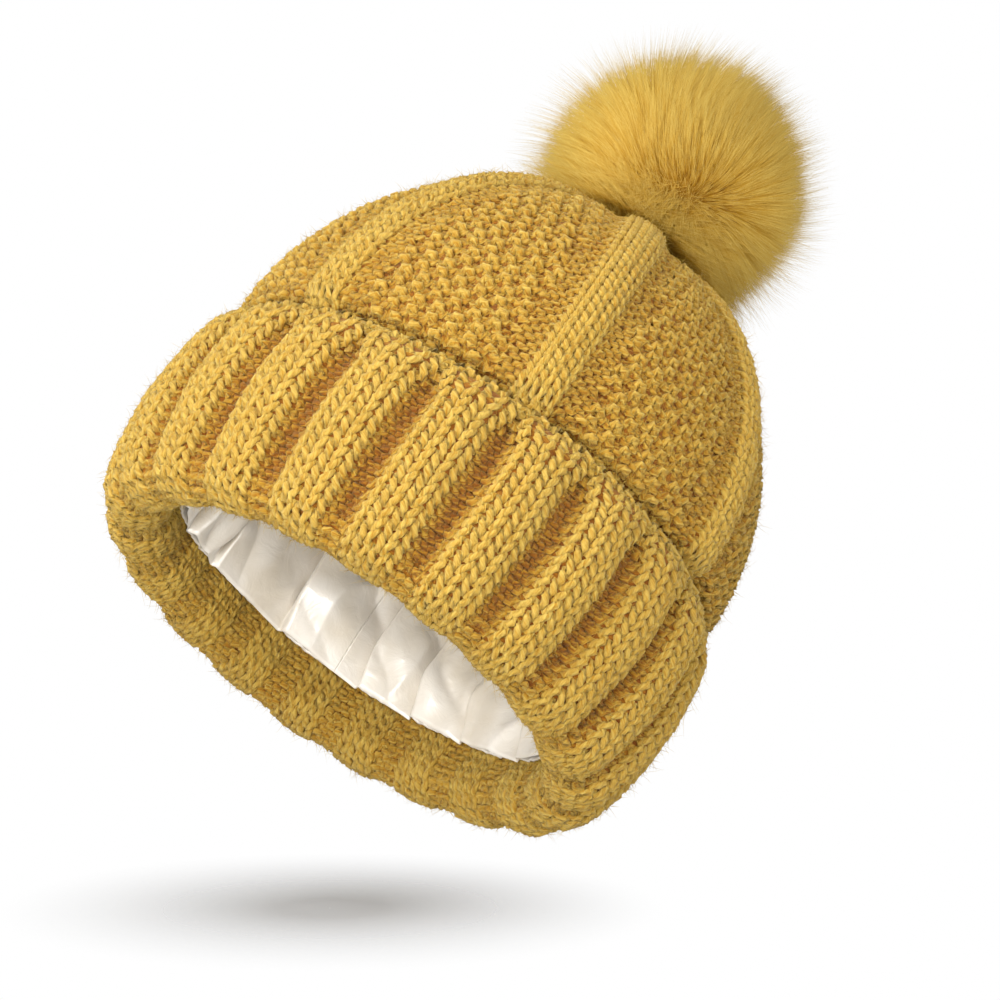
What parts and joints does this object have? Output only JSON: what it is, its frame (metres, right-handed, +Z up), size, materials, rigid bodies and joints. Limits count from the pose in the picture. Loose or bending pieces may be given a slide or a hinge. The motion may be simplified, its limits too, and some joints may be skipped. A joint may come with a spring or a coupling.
{
  "type": "pom pom beanie",
  "caption": "Chunky knitted winter hat with a deep turned-up cuff, satin lining and a faux-fur pompom that snaps off and leans on its stud.",
  "frame": {"origin": "centre of the head opening, on the plane that the fold of the cuff rests on", "axes": "+Z up through the crown and the pompom, -Y to the front of the hat, +X to the side"},
  "size_m": [0.2068, 0.2078, 0.2608],
  "materials": {
    "knit": "chunky brushed acrylic rib knit, mustard",
    "yarn": "plied acrylic yarn, mustard",
    "satin": "glossy ivory polyester satin",
    "thread": "matt polyester sewing thread",
    "felt": "pressed felt, brown",
    "snap_metal": "nickel-plated sheet",
    "spring_wire": "drawn spring wire",
    "backing": "knitted polyester backing of the fur",
    "stuffing": "loose polyester fibre",
    "fur": "long dense faux-fur pile, mustard"
  },
  "bodies": {
    "hat": {"knit_crown": "knit", "knit_band": "knit", "knit_fold": "knit", "knit_cuff": "knit", "cast_on_edge": "knit", "back_seam": "yarn", "crown_gather_yarn": "yarn", "lining_left": "satin", "lining_right": "satin", "lining_crown": "satin", "lining_side_seams": "thread", "lining_crown_seam": "thread", "lining_hem": "satin", "lining_stitches": "thread", "crown_patch": "felt", "snap_post": "snap_metal", "snap_socket": "snap_metal"},
    "spring_ring": {"snap_spring": "spring_wire"},
    "stud": {"snap_stud": "snap_metal", "snap_cap": "snap_metal", "pom_base": "felt"},
    "tie": {"pom_tie": "yarn"},
    "pom": {"pom_backing": "backing", "pom_filling": "stuffing", "pom_fur": "fur"}
  },
  "joints": [
    {"name": "pom_turn", "type": "hinge", "parent": "hat", "child": "spring_ring", "pos_m": [0, 0, 0.186], "axis": [0, 0, 1], "continuous": true},
    {"name": "pom_unsnap", "type": "slide", "parent": "spring_ring", "child": "stud", "axis": [0, 0, 1], "range_m": [0, 0.04]},
    {"name": "pom_lean_side", "type": "hinge", "parent": "stud", "child": "tie", "pos_m": [0, 0, 0.1958], "axis": [0, 1, 0], "range_deg": [-15, 15], "stiffness_Nm_per_rad": 0.08},
    {"name": "pom_lean_fore", "type": "hinge", "parent": "tie", "child": "pom", "pos_m": [0, 0, 0.1958], "axis": [1, 0, 0], "range_deg": [-15, 15], "stiffness_Nm_per_rad": 0.08}
  ]
}
